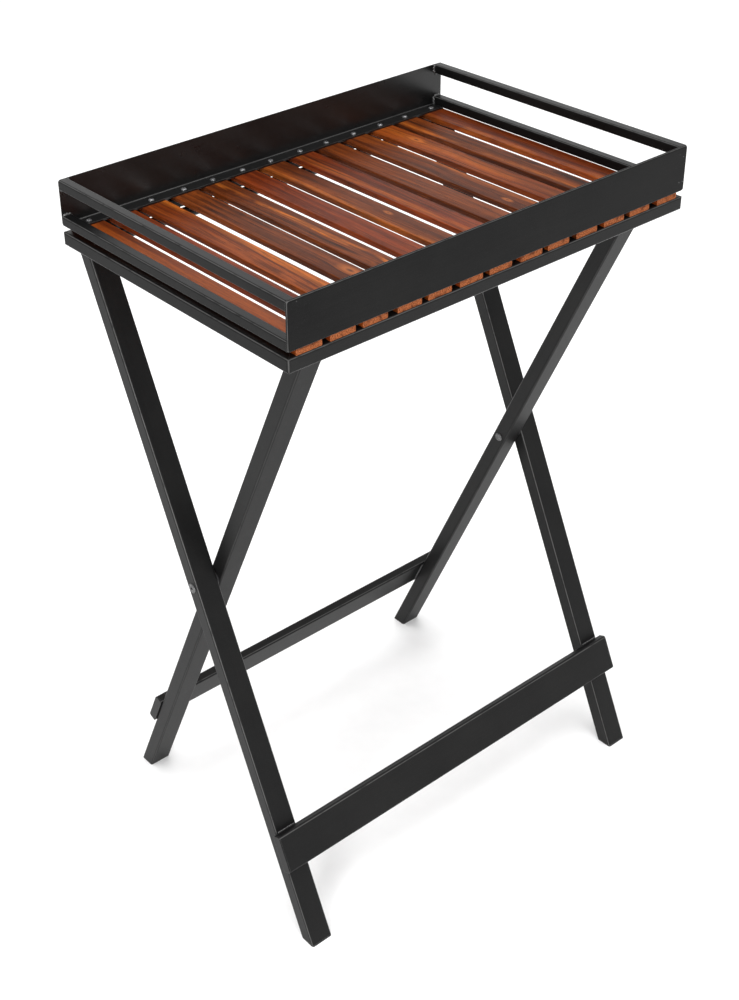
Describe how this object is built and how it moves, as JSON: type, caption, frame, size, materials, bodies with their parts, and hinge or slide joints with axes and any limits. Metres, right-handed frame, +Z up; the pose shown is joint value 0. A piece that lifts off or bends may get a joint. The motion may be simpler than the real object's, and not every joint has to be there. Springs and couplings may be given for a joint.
{
  "type": "folding tray table",
  "caption": "Folding tray table: slatted wooden tray with steel sides and end handles, lifting off a hinged steel frame on crossed scissor legs.",
  "frame": {"origin": "floor level, midway between the four feet, under the scissor pivots", "axes": "+Z up, X along the tray's long side, Y across it, front long side at -Y"},
  "size_m": [0.52, 0.3668, 0.784],
  "materials": {
    "frame_paint": "satin black powder coat",
    "slats": "oiled reddish brown hardwood",
    "screws": "black coated steel",
    "pivot_hardware": "black coated steel",
    "washers": "moulded nylon",
    "feet": "moulded"
  },
  "bodies": {
    "outer_legs": {"outer_leg_left": "frame_paint", "outer_leg_right": "frame_paint", "outer_crossbar": "frame_paint", "outer_stretcher": "frame_paint", "outer_stretcher_caps": "frame_paint", "outer_foot_plugs": "feet", "pivot_rivets": "pivot_hardware", "pivot_collars": "pivot_hardware", "pivot_washers": "washers"},
    "inner_legs": {"inner_leg_left": "frame_paint", "inner_leg_right": "frame_paint", "inner_crossbar": "frame_paint", "inner_stretcher": "frame_paint", "inner_stretcher_caps": "frame_paint", "inner_foot_plugs": "feet"},
    "top_frame": {"frame_bar_front": "frame_paint", "frame_bar_back": "frame_paint", "frame_bar_left": "frame_paint", "frame_bar_right": "frame_paint", "hinge_saddle_left": "frame_paint", "hinge_saddle_right": "frame_paint", "crossbar_catch_left": "frame_paint", "crossbar_catch_right": "frame_paint"},
    "tray": {"tray_panel_front": "frame_paint", "tray_panel_back": "frame_paint", "tray_top_rail_left": "frame_paint", "tray_top_rail_right": "frame_paint", "tray_bottom_rail_left": "frame_paint", "tray_bottom_rail_right": "frame_paint", "slat_01": "slats", "slat_02": "slats", "slat_03": "slats", "slat_04": "slats", "slat_05": "slats", "slat_06": "slats", "slat_07": "slats", "slat_08": "slats", "slat_09": "slats", "slat_10": "slats", "slat_11": "slats", "slat_12": "slats", "slat_13": "slats", "slat_screws_front": "screws", "slat_screws_back": "screws"}
  },
  "joints": [
    {"name": "leg_scissor", "type": "hinge", "parent": "outer_legs", "child": "inner_legs", "pos_m": [0, 0, 0.38], "axis": [-1, 0, 0], "range_deg": [0, 46]},
    {"name": "top_frame_hinge", "type": "hinge", "parent": "outer_legs", "child": "top_frame", "pos_m": [0, 0.15368, 0.7166], "axis": [-1, 0, 0], "range_deg": [0, 23]},
    {"name": "tray_lift", "type": "slide", "parent": "top_frame", "child": "tray", "axis": [0, 0, 1], "range_m": [0, 0.15]}
  ],
  "couplings": [
    {"joint": "top_frame_hinge", "follows": "leg_scissor", "ratio": 0.5}
  ]
}
